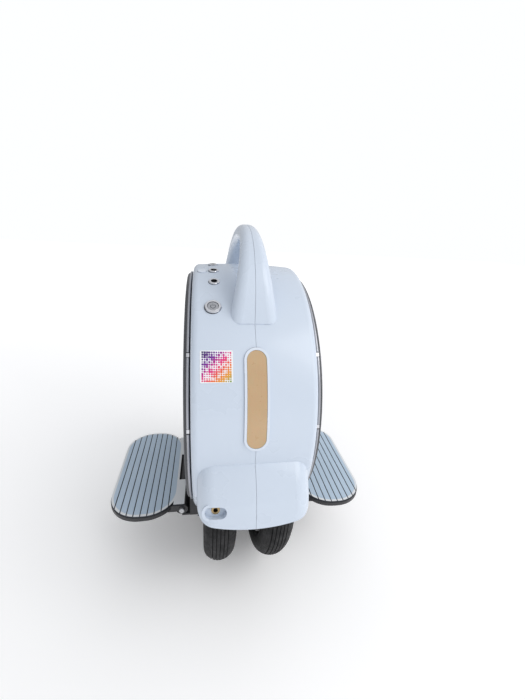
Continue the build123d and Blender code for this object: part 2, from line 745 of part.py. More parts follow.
with BuildPart() as pedal_plate_right:
    with BuildSketch(Plane.XY.offset(plate_top)) as plate_outline:
        with Locations((pedal_mid_x, 0)):
            RectangleRounded(pedal_width, pedal_length, pedal_corner)
    extrude(plate_outline.sketch, amount=-pedal_thick)
    lowest = pedal_plate_right.faces().sort_by(Axis.Z)[0]
    chamfer(lowest.edges(), under_chamfer)
    # arms to the two knuckles, as wide as the knuckles are long
    for side in (-1, 1):
        with BuildSketch(Plane.XZ.offset(-side * knuckle_mid - knuckle_length / 2)) as arm:
            with Locations((pin_x, pin_z)):
                Circle(knuckle_r)
            with Locations(((pin_x + pedal_in + 20) / 2, (plate_top + pin_z - 4) / 2)):
                Rectangle(pedal_in + 20 - pin_x, plate_top - pin_z + 4)
            with Locations(((pin_x + tongue_end) / 2, (plate_top + pin_z) / 2)):
                Rectangle(pin_x - tongue_end, plate_top - pin_z)
        extrude(arm.sketch, amount=knuckle_length)
    # nothing stands above the plate's top
    with BuildSketch(Plane.XY.offset(plate_top)) as above:
        with Locations((pedal_mid_x, 0)):
            Rectangle(3 * pedal_width, 2 * pedal_length)
    extrude(above.sketch, amount=40, mode=Mode.SUBTRACT)
    with BuildSketch(Plane.XZ.offset(-pedal_length)) as pin_hole:
        with Locations((pin_x, pin_z)):
            Circle(pin_d / 2 + running)
    extrude(pin_hole.sketch, amount=2 * pedal_length, mode=Mode.SUBTRACT)
    # notch round the hanger's knuckle
    with BuildSketch(Plane.XZ.offset(-knuckle_inner)) as notch:
        with Locations((pin_x, pin_z)):
            Circle(knuckle_r + knuckle_inner - knuckle_middle)
    extrude(notch.sketch, amount=2 * knuckle_inner, mode=Mode.SUBTRACT)
    # pockets under the plate leave a lattice of ribs
    pocket_depth = pedal_thick - 4.5
    with BuildSketch(Plane.XY.offset(plate_top - pedal_thick)) as pockets:
        with Locations((pedal_mid_x + 6, 0)):
            with GridLocations(24, 36, 2, 3):
                RectangleRounded(19, 31, 3)
    extrude(pockets.sketch, amount=pocket_depth, mode=Mode.SUBTRACT)
save_mirrored(pedal_plate_right, "pedal_plate_right", "pedal_plate_left")

with BuildPart() as pedal_mat_right:
    with BuildSketch(Plane.XY.offset(plate_top)) as mat_outline:
        with Locations((pedal_mid_x, 0)):
            RectangleRounded(pedal_width - mat_rim, pedal_length - mat_rim, pedal_corner - mat_rim / 2)
        for side in (-1, 1):
            with Locations(((tongue_end + pedal_in + 6) / 2, side * knuckle_mid)):
                Rectangle(pedal_in + 6 - tongue_end, knuckle_length - mat_rim)
    extrude(mat_outline.sketch, amount=mat_thick)
    with BuildSketch(Plane.XY.offset(pedal_top - groove_depth)) as grooves:
        groove_mid = pedal_out - 10.1 - groove_pitch * (groove_count - 1) / 2
        with Locations((groove_mid, 0)):
            with GridLocations(groove_pitch, 1, groove_count, 1):
                Rectangle(groove_width, 2 * pedal_length)
    extrude(grooves.sketch, amount=groove_depth + 1, mode=Mode.SUBTRACT)
save_mirrored(pedal_mat_right, "pedal_mat_right", "pedal_mat_left")


# ---------------------------------------------------------------- wheel: tyres, tubes, rims
tyre_x = tyre_track / 2
bead_radius = tyre_radius - 37.5
bead_half = 13.0
tread_half = 15.5
tyre_wall = 3.5
tread_grooves = 5
tread_pitch = 4.6
tread_width = 1.1
tread_depth = 1.2
shoulder_drop = 6.0

with BuildPart() as tyre_right:
    with BuildSketch(across(axle_z)) as tyre_section:
        with BuildLine():
            bulge = tyre_width / 2
            middle = tyre_radius - 19
            shoulder = tyre_radius - shoulder_drop
            inner_half = bead_half - tyre_wall
            x = tyre_x
            knee = bead_radius + 8
            Polyline((x - inner_half, bead_radius), (x - bead_half, bead_radius), (x - bead_half, knee))
            ThreePointArc((x - bead_half, knee), (x - bulge, middle), (x - tread_half, shoulder))
            ThreePointArc((x - tread_half, shoulder), (x, tyre_radius), (x + tread_half, shoulder))
            ThreePointArc((x + tread_half, shoulder), (x + bulge, middle), (x + bead_half, knee))
            Polyline((x + bead_half, knee), (x + bead_half, bead_radius), (x + inner_half, bead_radius))
            Line((x + inner_half, bead_radius), (x + inner_half, bead_radius + 9))
            inner_bulge = bulge - tyre_wall
            inner_top = tyre_radius - tyre_wall - 1.5
            ThreePointArc(
                (x + inner_half, bead_radius + 9),
                (x + inner_bulge, middle),
                (x + tread_half - tyre_wall, shoulder - tyre_wall),
            )
            ThreePointArc(
                (x + tread_half - tyre_wall, shoulder - tyre_wall),
                (x, inner_top),
                (x - tread_half + tyre_wall, shoulder - tyre_wall),
            )
            ThreePointArc(
                (x - tread_half + tyre_wall, shoulder - tyre_wall),
                (x - inner_bulge, middle),
                (x - inner_half, bead_radius + 9),
            )
            Line((x - inner_half, bead_radius + 9), (x - inner_half, bead_radius))
        make_face()
    revolve(tyre_section.sketch, axis=cross_axis(axle_z))
    for step in range(tread_grooves):
        groove_x = tyre_x + (step - (tread_grooves - 1) / 2) * tread_pitch
        sag = shoulder_drop * ((groove_x - tyre_x) / tread_half) ** 2
        groove_bottom = tyre_radius - sag - tread_depth
        groove_from = groove_x - tread_width / 2
        groove_to = groove_x + tread_width / 2
        ring(groove_from, groove_to, groove_bottom, tyre_radius + 1, axle_z, mode=Mode.SUBTRACT)
save_mirrored(tyre_right, "tyre_right", "tyre_left")

tube_radius = 13.2
tube_middle = tyre_radius - 18.7
with BuildPart() as tube_right:
    with BuildSketch(across(axle_z)) as tube_section:
        with Locations((tyre_x, tube_middle)):
            Circle(tube_radius)
            Circle(tube_radius - 1.5, mode=Mode.SUBTRACT)
    revolve(tube_section.sketch, axis=cross_axis(axle_z))
with BuildPart() as inner_tubes:
    add(tube_right.part)
    mirror(tube_right.part, about=Plane.YZ)
save(inner_tubes, "inner_tubes")

rim_thick = 3.0
rim_floor = bead_radius - rest_gap / 2
rim_flange = bead_radius + 6.5
rim_edge = bead_half + slip / 2
web_half = 4.0
with BuildPart() as rim_right:
    flange_out = rim_edge + rim_thick
    ring(tyre_x - flange_out, tyre_x + flange_out, rim_floor - rim_thick, rim_floor, axle_z)
    for side in (-1, 1):
        inner_face = tyre_x + side * rim_edge
        outer_face = tyre_x + side * flange_out
        flange_from, flange_to = sorted((inner_face, outer_face))
        ring(flange_from, flange_to, rim_floor - rim_thick, rim_flange, axle_z)
    # two webs down to the motor's can
    for offset in (-9, 9):
        web_from = tyre_x + offset - web_half / 2
        web_to = tyre_x + offset + web_half / 2
        ring(web_from, web_to, rotor_radius + running, rim_floor - rim_thick, axle_z)
save_mirrored(rim_right, "rim_right", "rim_left")

valve_angle = 115.0
with BuildPart() as valves:
    for side in (-1, 1):
        angle = math.radians(valve_angle)
        out = (0, math.cos(angle), math.sin(angle))
        start = rotor_radius + 2
        origin = (side * tyre_x, start * out[1], axle_z + start * out[2])
        root = Plane(origin=origin, x_dir=(1, 0, 0), z_dir=out)
        disc(root, 6.4, rim_floor - rim_thick - start - 0.2)
save(valves, "valves")

# ---------------------------------------------------------------- hub motor
bore_clearance = axle_d / 2 + running
bearing_seat = bearing_outer / 2
with BuildPart() as motor_rotor:
    ring(-rotor_half, rotor_half, rotor_radius - rotor_wall, rotor_radius, axle_z)
save(motor_rotor, "motor_rotor")

cover_bolt_circle = rotor_radius - rotor_wall / 2
cover_bolt_count = 8
with BuildPart() as motor_cover_right:
    ring(rotor_half, rotor_half + motor_cover_thick, bearing_seat + running, rotor_radius, axle_z)
    ring(rotor_half - bearing_width, rotor_half, bearing_seat + running, bearing_seat + 5, axle_z)
    with BuildSketch(Plane.YZ.offset(rotor_half)) as cover_holes:
        with Locations((0, axle_z)):
            with PolarLocations(cover_bolt_circle, cover_bolt_count):
                Circle(2 + running)
            with PolarLocations(75, 6):
                SlotOverall(46, 16)
    extrude(cover_holes.sketch, amount=motor_cover_thick, mode=Mode.SUBTRACT)
save_mirrored(motor_cover_right, "motor_cover_right", "motor_cover_left")

with BuildPart() as motor_screws:
    for side in (-1, 1):
        face_x = side * (rotor_half + motor_cover_thick)
        with BuildSketch(Plane.YZ.offset(face_x)) as heads:
            with Locations((0, axle_z)):
                with PolarLocations(cover_bolt_circle, cover_bolt_count):
                    Circle(2.8)
        extrude(heads.sketch, amount=side * 1.8)
        with BuildSketch(Plane.YZ.offset(face_x)) as shanks:
            with Locations((0, axle_z)):
                with PolarLocations(cover_bolt_circle, cover_bolt_count):
                    Circle(2)
        extrude(shanks.sketch, amount=-side * motor_cover_thick)
save(motor_screws, "motor_screws")

with BuildPart() as bearing_right:
    bearing_in = rotor_half - bearing_width
    ring(bearing_in, rotor_half, bore_clearance, bore_clearance + 3, axle_z)
    ring(bearing_in, rotor_half, bearing_seat - 3, bearing_seat, axle_z)
    ring(bearing_in + 1, rotor_half - 1, bore_clearance + 3, bearing_seat - 3, axle_z)
with BuildPart() as motor_bearings:
    add(bearing_right.part)
    mirror(bearing_right.part, about=Plane.YZ)
save(motor_bearings, "motor_bearings")

magnet_out = rotor_radius - rotor_wall - running
magnet_in = magnet_out - magnet_thick
with BuildPart() as rotor_magnets:
    ring(-stator_half, stator_half, magnet_in, magnet_out, axle_z)
    with BuildSketch(Plane.YZ.offset(-stator_half)) as slots:
        with Locations((0, axle_z)):
            with PolarLocations(magnet_in, magnet_count):
                Rectangle(20, 3)
    extrude(slots.sketch, amount=2 * stator_half, mode=Mode.SUBTRACT)
save(rotor_magnets, "rotor_magnets")

stator_out = magnet_in - air_gap
tooth_length = 22.0
slot_width = 18.0
yoke_thick = 12.0
hub_radius = 30.0
spoke_count = 6              # left between the stator's lightening holes
yoke_in = stator_out - tooth_length - 4 - yoke_thick
spoke_hole = yoke_in - hub_radius
spoke_circle = (yoke_in + hub_radius) / 2
coil_gap = 0.5               # insulation between a coil and its slot
with BuildPart() as motor_stator:
    ring(-stator_half, stator_half, axle_d / 2 + running, stator_out, axle_z)
    with BuildSketch(Plane.YZ.offset(-stator_half)) as slots:
        with Locations((0, axle_z)):
            with PolarLocations(stator_out - tooth_length / 2 - 4, tooth_count):
                Rectangle(tooth_length, slot_width)
            with PolarLocations(stator_out, tooth_count):
                Rectangle(12, 3)
            with PolarLocations(spoke_circle, spoke_count, start_angle=30):
                Circle(spoke_hole / 2)
    extrude(slots.sketch, amount=2 * stator_half, mode=Mode.SUBTRACT)
save(motor_stator, "motor_stator")

with BuildPart() as stator_coils:
    with BuildSketch(Plane.YZ.offset(-stator_half - 4)) as windings:
        with Locations((0, axle_z)):
            with PolarLocations(stator_out - tooth_length / 2 - 4, tooth_count):
                Rectangle(tooth_length - 2 * coil_gap, slot_width - 2 * coil_gap)
    extrude(windings.sketch, amount=2 * stator_half + 8)
save(stator_coils, "stator_coils")

# ---------------------------------------------------------------- inside the casing
with BuildPart() as wheel_liner:
    sector(axle_z, liner_radius, liner_radius + liner_thick, 27, 153, liner_half)
save(wheel_liner, "wheel_liner")

pack_air = 40.5              # over the middle of the battery pack
pack_base = liner_radius + liner_thick
pack_height = drum_z + drum_radius - wall - axle_z - pack_base - pack_air
with BuildPart() as battery_pack:
    sector(axle_z, pack_base + slip, pack_base + pack_height, 56, 88, 54)
    fillet(battery_pack.edges().filter_by(Axis.X), 4)
save(battery_pack, "battery_pack")

board_z = axle_z + pack_base + 24
board_y = -62.0
board_tilt = 20.0
board_normal = (0, -math.sin(math.radians(board_tilt)), math.cos(math.radians(board_tilt)))
board_plane = Plane(origin=(18, board_y, board_z), x_dir=(1, 0, 0), z_dir=board_normal)
board_wide = 66.0
board_long = 80.0


def board_block(lift, width, length, height, shift=(0, 0)):
    """Block on the controller board's plane."""
    with BuildSketch(board_plane.offset(lift)) as block:
        with Locations(shift):
            Rectangle(width, length)
    extrude(block.sketch, amount=height)


foot_height = 20.0
with BuildPart() as heat_sink:
    board_block(-22, board_wide, board_long, 4)
    # feet down to the wheel liner
    for foot_x in (-28, 28):
        board_block(-22 - foot_height, 6, board_long - 10, foot_height, shift=(foot_x, 0))
    ring(-shell_half, shell_half, 0, pack_base + slip, axle_z, mode=Mode.SUBTRACT)
    for step in range(-4, 5):
        board_block(-18, 2.5, board_long - 10, 12, shift=(7 * step, 0))
save(heat_sink, "heat_sink")

with BuildPart() as controller_board:
    board_block(-5.7, board_wide - 4, board_long - 6, 1.7)
    for column in (-18, 18):
        board_block(-4, 12, 12, 9, shift=(column, 20))
    board_block(-4, 40, 14, 6, shift=(0, -18))
save(controller_board, "controller_board")

with BuildPart() as gyro_board:
    board_block(-3.8, 18, 18, 1.6, shift=(0, 2))
    board_block(-2.2, 6, 6, 1.2, shift=(0, 2))
save(gyro_board, "gyro_board")
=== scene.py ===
# %% [markdown]
# # A twin-wheel self-balancing unicycle
#
# The machine is an upright drum with a carrying handle. Two narrow tyres stand side by side under it, and a
# pedal folds down on each side. The shapes come from the CAD model. This lesson gives them their finishes,
# adds the few marks that are too fine for CAD, and lights the result softly.
#
# First we bring the CAD model in. It arrives in metres, with -Y as the front and Z up, and stays where it is.

# %% Bring in the CAD model
import math

import bmesh
import bpy
from mathutils import Matrix, Vector


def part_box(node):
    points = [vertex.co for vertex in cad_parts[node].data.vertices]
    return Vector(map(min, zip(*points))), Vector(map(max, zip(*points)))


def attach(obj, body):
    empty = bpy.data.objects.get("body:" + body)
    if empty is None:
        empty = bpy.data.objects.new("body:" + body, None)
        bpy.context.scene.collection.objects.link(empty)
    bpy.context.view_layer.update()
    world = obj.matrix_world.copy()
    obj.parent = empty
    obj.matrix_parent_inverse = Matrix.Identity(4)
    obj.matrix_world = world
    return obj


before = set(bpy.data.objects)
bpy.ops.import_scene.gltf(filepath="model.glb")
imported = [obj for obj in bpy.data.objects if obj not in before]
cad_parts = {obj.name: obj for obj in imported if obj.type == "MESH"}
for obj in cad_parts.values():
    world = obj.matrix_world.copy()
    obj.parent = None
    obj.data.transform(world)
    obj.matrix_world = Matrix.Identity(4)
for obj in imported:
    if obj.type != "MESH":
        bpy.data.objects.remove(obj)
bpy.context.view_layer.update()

MM = 0.001

# %% [markdown]
# ## Places that the finishes need
#
# Several finishes depend on where they are: lathe marks run round the drum's centre, and a groove in the mat
# is darker than the mat's top. We read those places from the CAD pieces, so they follow the model.

# %% Measure the pieces
ring_low, ring_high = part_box("trim_ring_right")
tyre_low, tyre_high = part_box("tyre_right")
mat_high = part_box("pedal_mat_right")[1]
label_low, label_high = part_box("label_plate")
cap_low, cap_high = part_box("button_cap")
axle_z = (tyre_low.z + tyre_high.z) / 2
tyre_radius = (tyre_high.z - tyre_low.z) / 2
ring_radius = (ring_high.y - ring_low.y) / 2
drum_z = ring_high.z - ring_radius
print("axle at", round(axle_z, 4), "drum centre at", round(drum_z, 4))

# %% [markdown]
# ## A small kit for node materials
#
# Every finish below is a short recipe of nodes. A node material starts from the surface's own coordinates,
# makes patterns from noise, and feeds colour, roughness and bump to one Principled shader. Writing that
# wiring out by hand each time hides the idea, so `Finish` does the wiring and each recipe stays readable.

# %% The Finish helper
class Finish:
    """One node material: a shader, the surface's coordinates, and patterns made from them."""

    def __init__(self, name, **sockets):
        self.material = bpy.data.materials.new(name)
        self.material.use_nodes = True
        self.tree = self.material.node_tree
        self.tree.nodes.clear()
        output = self.tree.nodes.new("ShaderNodeOutputMaterial")
        self.shader = self.tree.nodes.new("ShaderNodeBsdfPrincipled")
        self.wire(self.shader.outputs["BSDF"], output.inputs["Surface"])
        self.place = self.tree.nodes.new("ShaderNodeTexCoord").outputs["Object"]
        for socket, value in sockets.items():
            self.shader.inputs[socket.replace("_", " ")].default_value = value

    def wire(self, source, target):
        """Joins two sockets, or sets the target when the source is a plain number."""
        if hasattr(source, "is_output"):
            self.tree.links.new(source, target)
        else:
            target.default_value = source

    def node(self, kind, **settings):
        """Adds a node and sets its options."""
        made = self.tree.nodes.new(kind)
        for name, value in settings.items():
            setattr(made, name, value)
        return made

    def sum(self, operation, first, second=0.0):
        """A Math node: one operation on one or two numbers."""
        made = self.node("ShaderNodeMath", operation=operation)
        self.wire(first, made.inputs[0])
        self.wire(second, made.inputs[1])
        return made.outputs[0]

    def axes(self, place=None):
        """The x, y and z of a place on the surface."""
        parts = self.node("ShaderNodeSeparateXYZ")
        self.wire(place or self.place, parts.inputs[0])
        return parts.outputs[0], parts.outputs[1], parts.outputs[2]

    def stretched(self, scale):
        """The surface's coordinates, squeezed or stretched along each axis."""
        mapping = self.node("ShaderNodeMapping")
        mapping.inputs["Scale"].default_value = scale
        self.wire(self.place, mapping.inputs["Vector"])
        return mapping.outputs[0]

    def noise(self, size, detail=3.0, place=None):
        """Cloudy noise whose features are about size metres across."""
        made = self.node("ShaderNodeTexNoise")
        made.inputs["Scale"].default_value = 1 / size
        made.inputs["Detail"].default_value = detail
        self.wire(place or self.place, made.inputs["Vector"])
        return made.outputs["Fac"]

    def cells(self, size, feature="F1", place=None, randomness=1.0):
        """Cells about size metres across: how far each point is from a cell's middle, or its edge."""
        made = self.node("ShaderNodeTexVoronoi", feature=feature)
        made.inputs["Scale"].default_value = 1 / size
        made.inputs["Randomness"].default_value = randomness
        self.wire(place or self.place, made.inputs["Vector"])
        return made.outputs["Distance"]

    def spread(self, value, low, high, to_low, to_high):
        """Maps a range of values to another, and holds it at the ends."""
        made = self.node("ShaderNodeMapRange")
        for socket, number in zip(made.inputs[1:5], (low, high, to_low, to_high)):
            socket.default_value = number
        self.wire(value, made.inputs[0])
        return made.outputs[0]

    def mix(self, share, first, second):
        """Colour between two colours."""
        made = self.node("ShaderNodeMix", data_type="RGBA")
        self.wire(share, made.inputs[0])
        for socket, colour in ((made.inputs[6], first), (made.inputs[7], second)):
            self.wire(colour if hasattr(colour, "is_output") else (*colour, 1.0), socket)
        return made.outputs[2]

    def ramp(self, value, stops):
        """Colour along a list of (position, colour) stops."""
        made = self.node("ShaderNodeValToRGB")
        band = made.color_ramp
        while len(band.elements) < len(stops):
            band.elements.new(0.5)
        for element, (position, colour) in zip(band.elements, stops):
            element.position = position
            element.color = (*colour, 1.0)
        self.wire(value, made.inputs[0])
        return made.outputs[0]

    def colour(self, source):
        self.wire(source, self.shader.inputs["Base Color"])

    def roughness(self, source):
        self.wire(source, self.shader.inputs["Roughness"])

    def bump(self, height, depth, under=None):
        """Raises the surface by height times depth metres; under is an earlier bump to stand on."""
        made = self.node("ShaderNodeBump")
        made.inputs["Distance"].default_value = depth
        self.wire(height, made.inputs["Height"])
        if under is not None:
            self.wire(under, made.inputs["Normal"])
        self.wire(made.outputs[0], self.shader.inputs["Normal"])
        return made.outputs[0]

    def scuffs(self, size, amount):
        """Thin scratches in two directions, from 0 to amount."""
        marks = []
        for scale in ((0.08, 1.0, 1.0), (1.0, 0.7, 0.06)):
            thin = self.noise(size, 2.0, self.stretched(scale))
            marks.append(self.spread(thin, 0.62, 0.74, 0.0, amount))
        return self.sum("MAXIMUM", marks[0], marks[1])

    def from_centre(self, centre_z):
        """Distance from a line along X through a centre, for anything turned on a lathe."""
        _, y, z = self.axes()
        up = self.sum("SUBTRACT", z, centre_z)
        squares = self.sum("ADD", self.sum("MULTIPLY", y, y), self.sum("MULTIPLY", up, up))
        return self.sum("SQRT", squares)


finishes = {}


def give(finish, *nodes):
    """Puts a finish on CAD pieces, in place of the plain one they came with."""
    for node in nodes:
        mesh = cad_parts[node].data
        mesh.materials.clear()
        mesh.materials.append(finish.material)
        finishes[node] = finish.material.name
    print(finish.material.name, "->", ", ".join(nodes))


# %% [markdown]
# ## The white casing
#
# The casing is injection-moulded ABS with a semi-gloss face. Real mouldings aren't perfectly flat: the skin
# has a faint ripple, and use leaves thin scratches that only show in the gloss. So the colour barely
# changes, while roughness carries the scratches and a very shallow bump breaks up the highlights. The marks
# are kept weak, because stronger ones read as chips in the plastic.

# %% Casing plastic
def moulded_white(name, light, shade, rough_low=0.24, rough_high=0.36):
    finish = Finish(name, Coat_Weight=0.25, Coat_Roughness=0.12, IOR=1.5)
    mottled = finish.mix(finish.noise(0.09, 2.0), shade, light)
    dust = finish.spread(finish.noise(0.06, 3.0), 0.40, 0.85, 0.0, 0.05)
    finish.colour(finish.mix(dust, mottled, (0.50, 0.52, 0.55)))
    worn = finish.spread(finish.noise(0.045, 3.0), 0.3, 0.7, rough_low, rough_high)
    finish.roughness(finish.sum("ADD", worn, finish.scuffs(0.0008, 0.010)))
    ripple = finish.bump(finish.noise(0.018, 1.0), 0.00005)
    finish.bump(finish.noise(0.0009, 3.0), 0.000012, ripple)
    return finish


casing_white = moulded_white("casing_white", (0.60, 0.672, 0.775), (0.565, 0.635, 0.735))
border_white = moulded_white("lens_border_white", (0.68, 0.74, 0.83), (0.64, 0.70, 0.79), 0.18, 0.30)
give(casing_white, "shell_right", "shell_left")
give(border_white, "front_lens_bezel", "rear_lens_bezel", "screw_plug")

# %% [markdown]
# ## The amber lenses
#
# Each lamp has a long diffusing lens. The amber resin scatters light inside itself, so it looks soft and
# milky rather than clear. A little subsurface scattering does that. Fine flutes that run up the lens show
# as a faint texture, and the tone of the resin drifts slightly in soft clouds.

# %% Lens resin
lens_amber = Finish("lens_amber", Subsurface_Weight=0.25, Subsurface_Scale=0.006, Coat_Weight=0.5, IOR=1.49)
cloud = lens_amber.noise(0.035, 3.0)
lens_amber.colour(lens_amber.mix(cloud, (0.50, 0.33, 0.175), (0.55, 0.375, 0.205)))
lens_amber.roughness(lens_amber.spread(lens_amber.noise(0.006, 4.0), 0.3, 0.7, 0.26, 0.40))
flutes = lens_amber.noise(0.0014, 1.0, lens_amber.stretched((1.0, 0.05, 0.05)))
lens_amber.bump(lens_amber.noise(0.0006, 3.0), 0.00002, lens_amber.bump(flutes, 0.00006))
give(lens_amber, "front_lens", "rear_lens")

# %% [markdown]
# ## Metal trim
#
# The button's bezel and the sockets are plated, so they mirror the room with a few polishing marks. The trim
# rings are anodised aluminium that was turned on a lathe: their marks run round the drum's centre, which is
# noise over the distance from that centre. Machined steel and the wheel's castings get the same finish
# round the axle, each with its own tone and width of mark.

# %% Plated, turned and machined metal
def plated(name, tone, rough_low, rough_high):
    finish = Finish(name, Metallic=1.0)
    finish.colour(finish.mix(finish.noise(0.003, 3.0), tone, tuple(0.86 * part for part in tone)))
    haze = finish.spread(finish.noise(0.0012, 4.0), 0.35, 0.75, rough_low, rough_high)
    finish.roughness(finish.sum("ADD", haze, finish.scuffs(0.0006, 0.15)))
    finish.bump(finish.noise(0.0007, 3.0), 0.00001)
    return finish


def turned(name, tone, centre_z, mark, rough_low=0.30, rough_high=0.46):
    finish = Finish(name, Metallic=1.0)
    radius = finish.from_centre(centre_z)
    round_place = finish.node("ShaderNodeCombineXYZ")
    finish.wire(radius, round_place.inputs[0])
    marks = finish.noise(mark, 4.0, round_place.outputs[0])
    finish.colour(finish.mix(marks, tuple(0.82 * part for part in tone), tone))
    finish.roughness(finish.spread(finish.noise(0.02, 4.0), 0.3, 0.7, rough_low, rough_high))
    finish.bump(marks, 0.00003)
    return finish


chrome_trim = plated("chrome_trim", (0.72, 0.73, 0.77), 0.06, 0.16)
clip_steel = plated("clip_steel", (0.66, 0.67, 0.71), 0.12, 0.25)
magnet_plate = plated("magnet_plate", (0.55, 0.55, 0.57), 0.15, 0.3)
ring_satin = turned("ring_satin", (0.46, 0.47, 0.51), drum_z, 0.0005)
wheel_metal = turned("wheel_metal", (0.55, 0.56, 0.58), axle_z, 0.0008)
machined_steel = turned("machined_steel", (0.60, 0.61, 0.63), axle_z, 0.0006)
motor_steel = turned("motor_steel", (0.30, 0.30, 0.32), axle_z, 0.0009, rough_low=0.35, rough_high=0.55)
give(chrome_trim, "button_bezel", "charge_socket", "lamp_socket", "data_socket")
give(clip_steel, "ring_clips")
give(magnet_plate, "rotor_magnets")
give(ring_satin, "trim_ring_right", "trim_ring_left")
give(wheel_metal, "rim_right", "rim_left", "motor_cover_right", "motor_cover_left")
give(machined_steel, "axle", "axle_nuts", "side_screws", "panel_nuts", "motor_screws", "motor_bearings")
give(machined_steel, "hinge_pin_right", "hinge_pin_left")
give(motor_steel, "motor_rotor", "motor_stator")

# %% [markdown]
# ## The grey side covers
#
# The covers are pressed panels in a satin grey paint. Sprayed paint settles with a fine orange peel, which
# is a noise bump about a millimetre across. Grime collects slowly in a broad, uneven film.

# %% Sprayed and powder-coated metal
def sprayed(name, tone, peel, depth, rough_low, rough_high, grime=0.25):
    finish = Finish(name, Coat_Weight=0.1, Coat_Roughness=0.3)
    film = finish.spread(finish.noise(0.05, 5.0), 0.45, 0.75, 0.0, grime)
    finish.colour(finish.mix(film, tone, tuple(0.6 * part + 0.03 for part in tone)))
    worn = finish.spread(finish.noise(0.01, 4.0), 0.3, 0.7, rough_low, rough_high)
    finish.roughness(finish.sum("ADD", worn, finish.scuffs(0.002, 0.10)))
    finish.bump(finish.noise(peel, 3.0), depth)
    return finish


cover_grey = sprayed("cover_grey", (0.055, 0.058, 0.066), 0.0011, 0.00003, 0.34, 0.46)
plate_black = sprayed("plate_black", (0.05, 0.05, 0.055), 0.0008, 0.00004, 0.42, 0.55)
cast_black = sprayed("cast_black", (0.022, 0.022, 0.026), 0.0007, 0.00008, 0.40, 0.56, 0.5)
bolt_black = sprayed("bolt_black", (0.05, 0.05, 0.055), 0.0005, 0.00002, 0.28, 0.42)
give(cover_grey, "side_cover_right", "side_cover_left")
give(plate_black, "side_plate_right", "side_plate_left")
give(cast_black, "pedal_hanger_right", "pedal_hanger_left", "pedal_plate_right", "pedal_plate_left")
give(bolt_black, "hanger_bolts")

# %% [markdown]
# ## Rubber
#
# Tyre rubber is near black, with a grey bloom of dust in uneven patches. The tread has fine ribs that run
# round the wheel, moulded between the cut grooves. They are a wave over the x across the tyre, and the
# distance from the axle keeps them on the tread and off the side walls.

# %% Tyres and rubber parts
def moulded_rubber(name, tone, bloom, rough_low=0.55, rough_high=0.78):
    finish = Finish(name, Specular_IOR_Level=0.25)
    dusty = finish.spread(finish.noise(0.012, 6.0), 0.42, 0.78, 0.0, 0.55)
    finish.colour(finish.mix(dusty, tone, bloom))
    finish.roughness(finish.spread(finish.noise(0.004, 4.0), 0.3, 0.7, rough_low, rough_high))
    finish.bump(finish.noise(0.0006, 3.0), 0.00005)
    return finish


tyre_black = moulded_rubber("tyre_black", (0.007, 0.007, 0.008), (0.05, 0.05, 0.052))
rib_pitch = 1.53 * MM
tread_inner, tread_outer = 14 * MM, 8 * MM  # inside the tyre's radius
across_tyre = tyre_black.axes()[0]
rib_wave = tyre_black.sum("SINE", tyre_black.sum("MULTIPLY", across_tyre, 2 * math.pi / rib_pitch))
from_axle = tyre_black.from_centre(axle_z)
on_tread = tyre_black.spread(from_axle, tyre_radius - tread_inner, tyre_radius - tread_outer, 0.0, 1.0)
ribs = tyre_black.bump(tyre_black.sum("MULTIPLY", rib_wave, on_tread), 0.00016)
tyre_black.bump(tyre_black.noise(0.0007, 3.0), 0.00005, ribs)
# Black rubber for the real cover gaskets; it also paints the shadow rings round the flanges further down.
seal_black = moulded_rubber("seal_black", (0.012, 0.012, 0.014), (0.035, 0.035, 0.038))
tube_black = moulded_rubber("tube_black", (0.03, 0.03, 0.032), (0.07, 0.07, 0.07))
cable_sheath = moulded_rubber("cable_sheath", (0.015, 0.015, 0.017), (0.04, 0.04, 0.042), 0.45, 0.6)
give(tyre_black, "tyre_right", "tyre_left")
give(seal_black, "cover_gasket_right", "cover_gasket_left")
give(tube_black, "inner_tubes")
give(cable_sheath, "motor_cable")

# %% [markdown]
# ## The pedal mats
#
# Each pedal carries a pale grip mat with nine cut grooves, a fine pattern of dots and a white edge line. The
# dots are a grid of cells with no randomness. Anything lower than the mat's face is painted dark, as painted
# shade in the grooves. The edge line is worked out as the distance in from a rounded rectangle.

# %% Grip mat
def edge_distance(finish, middle_x, half_x, half_y, corner):
    """How far a point is outside a rounded rectangle; negative inside."""
    x, y, _ = finish.axes()
    side = finish.sum("SUBTRACT", finish.sum("ABSOLUTE", x), middle_x)
    over_x = finish.sum("SUBTRACT", finish.sum("ABSOLUTE", side), half_x - corner)
    over_y = finish.sum("SUBTRACT", finish.sum("ABSOLUTE", y), half_y - corner)
    out_x = finish.sum("MAXIMUM", over_x, 0.0)
    out_y = finish.sum("MAXIMUM", over_y, 0.0)
    squares = finish.sum("ADD", finish.sum("POWER", out_x, 2.0), finish.sum("POWER", out_y, 2.0))
    length = finish.sum("SQRT", squares)
    inside = finish.sum("MINIMUM", finish.sum("MAXIMUM", over_x, over_y), 0.0)
    return finish.sum("SUBTRACT", finish.sum("ADD", length, inside), corner)


grip_mat = Finish("grip_mat", Specular_IOR_Level=0.4)
mat_inner_x = 94.9 * MM
mat_corner = 44 * MM
dot_pitch = 2.3 * MM
mat_half_x = (mat_high.x - mat_inner_x) / 2
mat_middle_x = mat_high.x - mat_half_x
dots = grip_mat.cells(dot_pitch, randomness=0.0)
dot = grip_mat.spread(dots, 0.26, 0.36, 1.0, 0.0)
worn_mat = grip_mat.mix(grip_mat.noise(0.05, 4.0), (0.48, 0.60, 0.73), (0.56, 0.68, 0.81))
dotted = grip_mat.mix(grip_mat.sum("MULTIPLY", dot, 0.35), worn_mat, (0.30, 0.36, 0.43))
edge = edge_distance(grip_mat, mat_middle_x, mat_half_x, mat_high.y, mat_corner)
edge_line = grip_mat.spread(edge, -3.4 * MM, -2.8 * MM, 0.0, 1.0)
lined = grip_mat.mix(edge_line, dotted, (0.80, 0.83, 0.86))
mat_z = grip_mat.axes()[2]
